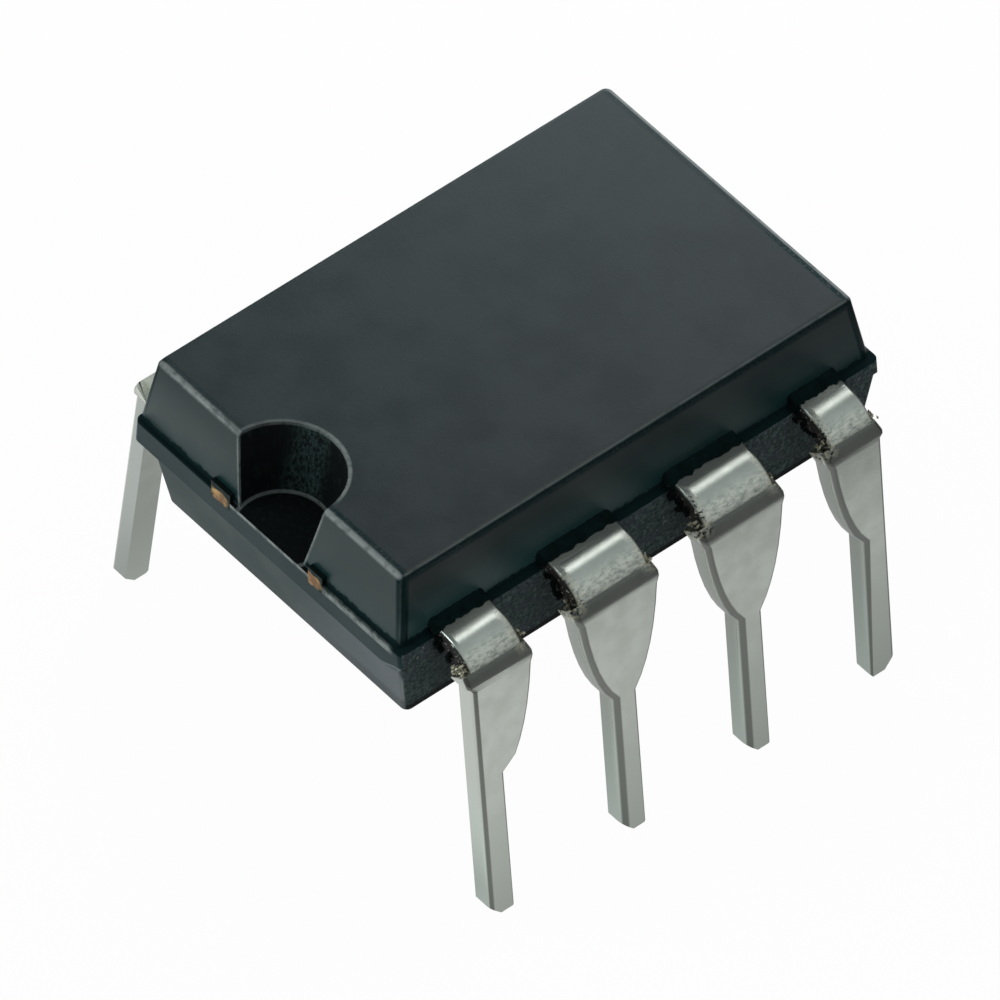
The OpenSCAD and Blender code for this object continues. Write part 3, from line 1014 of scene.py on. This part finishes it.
@dataclass
class Crumbs:
    """Crumbs of resin or metal that the trimming tools left, joined as one piece a lead."""

    name: str
    seed: int
    jag: float = 0.28

    def _model(self) -> Piece:
        """Model one jagged crumb, a millimetre across, for the others to copy."""
        clear_selection()
        bpy.ops.mesh.primitive_ico_sphere_add(subdivisions=2, radius=0.5)
        crumb = bpy.context.object
        bpy.ops.object.mode_set(mode="EDIT")
        bpy.ops.mesh.select_all(action="SELECT")
        bpy.ops.transform.vertex_random(offset=self.jag, uniform=0.2, normal=0.8, seed=self.seed)
        bpy.ops.object.mode_set(mode="OBJECT")
        return crumb

    def build(self, label: str, lumps: list[Lump], material: Material, slot: Slot) -> None:
        """Scatter copies of the crumb and join them.

        Args:
            label: What the piece's name ends with.
            lumps: Where each crumb goes.
            material: The crumbs' finish.
            slot: Not used.
        """
        crumb = self._model()
        draw = random.Random(self.seed)
        copies = []
        for lump in lumps:
            copy = crumb.copy()
            copy.data = crumb.data.copy()
            bpy.context.scene.collection.objects.link(copy)
            copy.location = Vector(lump.place) * MM
            copy.scale = Vector(lump.size) * MM
            copy.rotation_euler = [draw.uniform(0, math.tau) for _ in range(3)]
            copies.append(copy)
        bpy.data.objects.remove(crumb)
        clear_selection()
        for copy in copies:
            copy.select_set(True)
        piece = copies[0]
        bpy.context.view_layer.objects.active = piece
        bpy.ops.object.join()
        piece.name = piece.data.name = f"{self.name}_{label}"
        bpy.ops.object.transform_apply(location=True, rotation=True, scale=True)
        dress(piece, material)
        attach(piece, "root")


@dataclass
class TrimDebris:
    """Resin and burrs that trimming left at the foot of each lead's bend."""

    resin: int = 26
    burrs: int = 16
    resin_seed: int = 300
    burr_seed: int = 500
    resin_top: float = 88.0
    resin_fall: float = 50.0
    burr_turns: tuple[float, float] = (30.0, 46.0)
    torn_lead: int = 1
    torn_more: float = 1.7

    def resin_lumps(self, number: int, row: LeadRow) -> list[Lump]:
        """Place black lumps down the flanks of the bend, against the body.

        Args:
            number: The lead's number.
            row: Its row.

        Returns:
            The lumps.
        """
        draw = random.Random(self.resin_seed + number)
        low, high = lead_span(number)
        lumps = []
        for count in range(self.resin):
            flank = -1 if count % 3 else 1
            fall = draw.random()
            angle = math.radians(self.resin_top - self.resin_fall * fall)
            radius = SIZES.outer_r - draw.uniform(0.05, 0.3)
            x = min(row.bend_x - 0.16 + radius * math.cos(angle) * fall, row.bend_x + 0.3)
            z = SIZES.bend_z + radius * math.sin(angle)
            edge = low if flank < 0 else high
            y = edge + flank * draw.uniform(-0.01, 0.07) * (1 if flank < 0 else 0.6)
            size = draw.uniform(0.05, 0.11) * (1 if flank < 0 else 0.7)
            lumps.append(Lump((x * row.side.value, y, z),
                              (size, size * draw.uniform(0.5, 1), size * draw.uniform(0.6, 1.3))))
        return lumps

    def burr_lumps(self, number: int, row: LeadRow) -> list[Lump]:
        """Place torn metal where the dam bar was cut, at both sides of the crease.

        Args:
            number: The lead's number.
            row: Its row.

        Returns:
            The lumps.
        """
        draw = random.Random(self.burr_seed + number)
        low, high = lead_span(number)
        lumps = []
        for count in range(self.burrs):
            flank = -1 if count % 2 else 1
            angle = math.radians(draw.uniform(*self.burr_turns))
            radius = SIZES.outer_r - draw.uniform(0.02, 0.3)
            edge = low if flank < 0 else high
            spread = draw.uniform(0.0, 0.13)
            more = self.torn_more if number == self.torn_lead and flank < 0 else 1
            size = draw.uniform(0.03, 0.075) * more
            lumps.append(Lump(((row.bend_x + radius * math.cos(angle)) * row.side.value,
                               edge + flank * spread, SIZES.bend_z + radius * math.sin(angle)),
                              (size, size * draw.uniform(0.7, 1.2), size * draw.uniform(0.5, 1))))
        return lumps


@dataclass
class MouldedBody:
    """The epoxy body, from the solid's own shape with its edges eased."""

    ease: float = 0.028
    steps: int = 3
    eased_above: float = 34.0
    smooth_below: float = 32.0
    notch_reach: float = 0.05

    def _in_notch(self, centre: Vector, normal: Vector) -> bool:
        """Say whether a face belongs to the notch's wall or floor."""
        depth = SIZES.top_z - centre.z
        if depth < 0.008 or centre.z < SIZES.parting_z - 0.01 or centre.y > 0:
            return False
        radius = SIZES.notch_r - depth * math.tan(math.radians(SIZES.notch_draft))
        inward = Vector((SIZES.notch_x - centre.x, -SIZES.top_l / 2 - centre.y, 0))
        reach = inward.length
        on_wall = abs(reach - radius) < self.notch_reach and normal.dot(inward) > 0.5 * reach
        on_floor = normal.z > 0.9 and depth > 1.2 and reach < radius
        return on_wall or on_floor

    def _is_broken(self, centre: Vector, normal: Vector) -> bool:
        """Say whether a face was broken free between the leads."""
        return centre.z < SIZES.parting_z + 0.004 and abs(normal.x) > 0.7 and abs(centre.x) > 2.6

    def build(self, satin: Material, notch: Material, broken: Material, dull: Material) -> None:
        """Make the body's piece.

        Args:
            satin: Finish of the moulded faces.
            notch: Finish of the notch.
            broken: Finish of the long sides below the parting plane.
            dull: Finish of the other faces below it.
        """
        piece = merged_copy("moulded_body", "body_shell")
        bevel = piece.modifiers.new("ease", "BEVEL")
        bevel.width = self.ease * MM
        bevel.segments = self.steps
        bevel.limit_method = "ANGLE"
        bevel.angle_limit = math.radians(self.eased_above)
        bevel.use_clamp_overlap = True
        bpy.ops.object.modifier_apply(modifier=bevel.name)
        bpy.ops.object.shade_smooth_by_angle(angle=math.radians(self.smooth_below))
        even_normals(piece)
        dress(piece, satin)
        for material in (notch, broken, dull):
            piece.data.materials.append(material)
        for face in piece.data.polygons:
            centre = face.center / MM
            if self._in_notch(centre, face.normal):
                face.material_index = 1
            elif self._is_broken(centre, face.normal):
                face.material_index = 2
            elif centre.z < SIZES.parting_z - 0.04:
                face.material_index = 3
        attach(piece, "root")
        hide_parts("moulded_body")
        log.info("body: %d faces", len(piece.data.polygons))


def hang(name: str, data: bpy.types.ID, away: Vector, place: Vector) -> Piece:
    """Hang a lamp or the camera so that it looks back at the part.

    Args:
        name: Name of the object.
        data: The lamp or the camera.
        away: Direction from the part to it.
        place: Where it hangs, in metres.

    Returns:
        The new object.
    """
    held = bpy.data.objects.new(name, data)
    bpy.context.scene.collection.objects.link(held)
    held.location = place
    held.rotation_mode = "QUATERNION"
    held.rotation_quaternion = away.to_track_quat("Z", "Y")
    return held


@dataclass
class Studio:
    """Floor, lamps, surroundings and camera."""

    target: Point = (0.8223, -0.7887, 4.0)
    towards: Point = (0.51250, -0.42871, 0.74400)
    distance: float = 313.41
    lens: float = 727.0
    sensor: float = 36.0
    clip: tuple[float, float] = (0.01, 20.0)
    floor_size: float = 4.0
    floor_white: Colour = (0.9, 0.9, 0.9)
    lit_floor_r: float = 9.5
    dark_floor_r: float = 12.5
    dark_floor_share: float = 0.16
    lit_floor_stretch: float = 0.6
    lit_floor_y: float = 3.0
    shaded_floor: tuple = ((2.5, 7.0), (4.0, 5.6))
    glow_share: float = 0.97

    def camera(self) -> None:
        """Put the camera where the photograph was taken from."""
        data = bpy.data.cameras.new("camera")
        data.lens = self.lens
        data.sensor_width = self.sensor
        data.clip_start, data.clip_end = self.clip
        away = Vector(self.towards).normalized()
        place = (Vector(self.target) + away * self.distance) * MM
        bpy.context.scene.camera = hang("camera", data, away, place)

    def floor(self) -> None:
        """Lay a pale floor that shows white to the camera and keeps a little of the shadow."""
        clear_selection()
        bpy.ops.mesh.primitive_plane_add(size=self.floor_size, location=(0, 0, 0))
        plane = bpy.context.object
        plane.name = "floor"
        material = bpy.data.materials.new("pale_floor")
        material.use_nodes = True
        nodes = Nodes(material.node_tree)
        matt = nodes.add("ShaderNodeBsdfDiffuse", {"Color": self.floor_white})
        path = nodes.add("ShaderNodeLightPath")
        x, y, _ = nodes.in_mm(nodes.add("ShaderNodeTexCoord").outputs["Object"])
        # For glossy rays the floor glows as a painted pool of light, dimmer towards +y, with a
        # painted shadow of the body in it
        reach = nodes.length(x, nodes.times(nodes.plus(y, self.lit_floor_y),
                                            self.lit_floor_stretch))
        far = nodes.ramp(reach, self.lit_floor_r, self.dark_floor_r, start=1.0,
                         end=self.dark_floor_share)
        along = nodes.ramp(y, -4.0, 4.0, start=0.97, end=0.78)
        beside = [nodes.ramp(away, inner, outer, start=0.56) for away, (inner, outer)
                  in zip((nodes.size(x), nodes.times(y, -1.0)), self.shaded_floor)]
        far = nodes.times(far, along, nodes.most(*beside))
        seen = nodes.most(path.outputs["Is Camera Ray"], path.outputs["Is Transmission Ray"])
        glossy = nodes.times(path.outputs["Is Glossy Ray"], far)
        strength = nodes.most(seen, glossy)
        glow = nodes.add("ShaderNodeEmission", {"Color": (1.0, 1.0, 1.0), "Strength": strength})
        share = nodes.times(nodes.most(seen, path.outputs["Is Glossy Ray"]), self.glow_share)
        both = nodes.add("ShaderNodeMixShader", {0: share, 1: matt.outputs[0], 2: glow.outputs[0]})
        nodes.add("ShaderNodeOutputMaterial", {"Surface": both.outputs[0]})
        plane.data.materials.append(material)

    def lamp(self, name: str, towards: Point, distance: float, size: tuple[float, float],
             glow: float, colour: Colour = (1, 1, 1)) -> None:
        """Hang a soft rectangular lamp that faces the part.

        Args:
            name: Name of the lamp.
            towards: Direction from the part to the lamp.
            distance: Distance from the part in metres.
            size: Width and height in metres.
            glow: How bright the lamp's face is, where 1 is white.
            colour: Colour of the light.
        """
        data = bpy.data.lights.new(name, "AREA")
        data.shape = "RECTANGLE"
        data.size, data.size_y = size
        data.energy = glow * size[0] * size[1] * math.pi
        data.color = colour
        away = Vector(towards).normalized()
        hang(name, data, away, away * distance)

    def world(self) -> None:
        """Surround the part with a dim soft room that is lighter above."""
        world = bpy.data.worlds.new("studio")
        bpy.context.scene.world = world
        world.use_nodes = True
        nodes = Nodes(world.node_tree)
        way = nodes.add("ShaderNodeTexCoord").outputs["Generated"]
        split = nodes.add("ShaderNodeSeparateXYZ", {"Vector": way})
        height = nodes.ramp(split.outputs[2], 0.0, 0.5, start=0.1, end=0.5)
        side = nodes.ramp(split.outputs[0], -0.4, 0.3, start=0.32, end=1.2)
        strength = nodes.times(height, side)
        back = nodes.add("ShaderNodeBackground", {"Color": (0.94, 1.0, 1.02),
                                                  "Strength": strength})
        nodes.add("ShaderNodeOutputWorld", {"Surface": back.outputs[0]})

    def build(self) -> None:
        """Set up the whole studio."""
        self.camera()
        self.floor()
        self.lamp("top_strip", (-0.165, 0.43, 0.885), 0.12, (0.024, 0.08), 1.7)
        self.lamp("rear_softbox", (-0.55, 0.62, 0.56), 0.04, (0.02, 0.02), 2.6, (0.93, 1.0, 1.03))
        self.lamp("key_softbox", (-0.55, -0.74, 0.40), 0.3, (0.22, 0.16), 3.6, (0.91, 1.0, 1.0))
        self.world()
        view = bpy.context.scene.view_settings
        view.view_transform = "Standard"


class Circuit:
    """The whole part: its finishes, and the pieces that wear them."""

    def __init__(self) -> None:
        """Build the finishes."""
        groups = SharedGroups()
        self.moulding = MouldingFinish().build(groups)
        self.dull = MouldingFinish("dull_moulding", 0.12).build(groups)
        self.notch = NotchFinish().build(groups)
        self.broken = BrokenFinish().build()
        self.tin = TinFinish().build(groups)
        self.torn = PlainFinish("torn_resin", srgb(3, 7, 7), srgb(14, 20, 20), 0.0, 0.85,
                                broad=9000.0, depth=0.01, specular=0.12).build(groups)
        self.skin = PlainFinish("resin_skin", srgb(10, 24, 24), srgb(18, 38, 39), 0.8, 0.7,
                                broad=5000.0, depth=0.004, specular=0.2).build(groups)
        self.burr = PlainFinish("torn_tin", srgb(212, 208, 184), srgb(96, 92, 76), 0.7, 0.4,
                                broad=14000.0, depth=0.01).build(groups)
        self.copper = TieBarFinish().build(groups)
        self.attach = PlainFinish("silver_epoxy", srgb(176, 178, 178), srgb(140, 142, 144), 0.6,
                                  0.6, depth=0.006).build(groups)
        self.silicon = PlainFinish("polished_silicon", srgb(92, 98, 112), srgb(104, 108, 118),
                                   0.8, 0.12, broad=5000.0, depth=0.0006).build(groups)
        self.gold = PlainFinish("bond_gold", srgb(226, 190, 98), srgb(214, 170, 78), 1.0, 0.22,
                                depth=0.0008).build(groups)

    def build(self) -> None:
        """Make every piece and dress every node that stays."""
        MouldedBody().build(self.moulding, self.notch, self.broken, self.dull)
        right, left = LeadRow(Side.RIGHT), LeadRow(Side.LEFT)
        flash, debris = ResinFlash(), TrimDebris()
        resin, burrs = Crumbs("resin_lumps", 11), Crumbs("dam_bar_burrs", 23)
        for number in range(1, 2 * SIZES.row_n + 1):
            row = right if number <= SIZES.row_n else left
            row.build(number, self.tin)
            flash.build(number, row.side, self.skin)
            if row.side is Side.RIGHT:
                resin.build(str(number), debris.resin_lumps(number, row), self.torn, Slot.MOULDING)
                burrs.build(str(number), debris.burr_lumps(number, row), self.burr, Slot.LEAD)
        nodes = frame["nodes"]
        dress(nodes["die_paddle"], self.copper)
        dress(nodes["die_attach"], self.attach)
        dress(nodes["silicon_die"], self.silicon)
        for number in range(1, 2 * SIZES.row_n + 1):
            dress(nodes[f"bond_wire_{number}"], self.gold)


def main() -> None:
    """Build the studio and the part."""
    logging.basicConfig(level=logging.INFO, format="%(name)s: %(message)s")
    Studio().build()
    Circuit().build()


if __name__ == "__main__":
    main()
